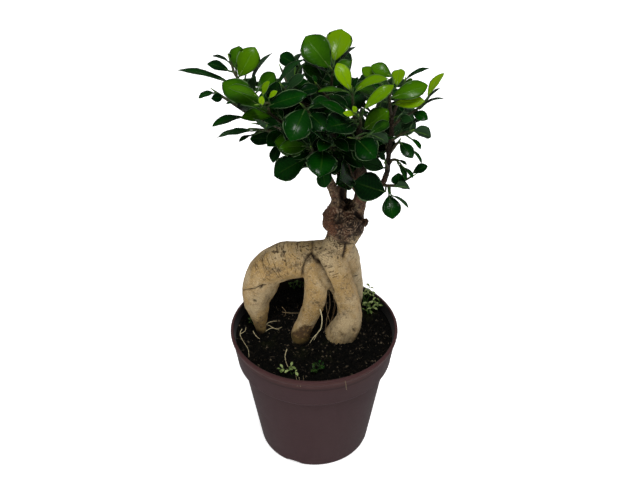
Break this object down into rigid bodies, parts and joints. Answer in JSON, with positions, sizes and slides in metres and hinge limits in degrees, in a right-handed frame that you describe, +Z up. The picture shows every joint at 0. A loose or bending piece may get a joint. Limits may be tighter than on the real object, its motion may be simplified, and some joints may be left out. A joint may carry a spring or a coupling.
{
  "type": "potted ginseng ficus",
  "caption": "Small bonsai-style fig with swollen aerial roots, a grafted crown of blunt glossy leaves and a round nursery pot.",
  "frame": {"origin": "centre of the pot's bottom, on the surface that it stands on", "axes": "+Z up along the plant's height, front at -Y, +X to the viewer's right"},
  "size_m": [0.1638, 0.1468, 0.3263],
  "materials": {
    "pot_plastic": "satin moulded plastic, dark brown",
    "peat": "loose dark peat with a greenish bloom at the roots",
    "bark": "thin tan bark, rough and brown on the graft",
    "leaf": "thick, glossy green leaf"
  },
  "bodies": {
    "root": {"leafy_stem_back_1": "leaf", "leafy_stem_back_10": "leaf", "leafy_stem_back_11": "leaf", "leafy_stem_back_2": "leaf", "leafy_stem_back_3": "leaf", "leafy_stem_back_4": "leaf", "leafy_stem_back_5": "leaf", "leafy_stem_back_6": "leaf", "leafy_stem_back_7": "leaf", "leafy_stem_back_8": "leaf", "leafy_stem_back_9": "leaf", "leafy_stem_front": "leaf", "leafy_stem_left_front": "leaf", "leafy_stem_left_low_twig": "leaf", "leafy_stem_left_lower": "leaf", "leafy_stem_left_top": "leaf", "leafy_stem_left_twig": "leaf", "leafy_stem_low_1": "leaf", "leafy_stem_low_2": "leaf", "leafy_stem_low_3": "leaf", "leafy_stem_low_4": "leaf", "leafy_stem_low_middle": "leaf", "leafy_stem_middle": "leaf", "leafy_stem_right_1": "leaf", "leafy_stem_right_2": "leaf", "leafy_stem_right_bottom": "leaf", "leafy_stem_right_hanging": "leaf", "leafy_stem_right_inner": "leaf", "leafy_stem_right_lower": "leaf", "leafy_stem_right_middle": "leaf", "leafy_stem_right_shoot": "leaf", "leafy_stem_right_thin_twig": "leaf", "leafy_stem_right_tip": "leaf", "leafy_stem_right_top": "leaf", "leafy_stem_right_under": "leaf", "leafy_stem_top": "leaf", "leafy_stem_top_left": "leaf", "leafy_stem_top_middle": "leaf", "leafy_stem_upper_1": "leaf", "leafy_stem_upper_2": "leaf", "leafy_stem_upper_3": "leaf", "leafy_stem_upper_4": "leaf", "pot": "pot_plastic", "soil": "peat", "trunk_roots": "bark"}
  },
  "joints": []
}
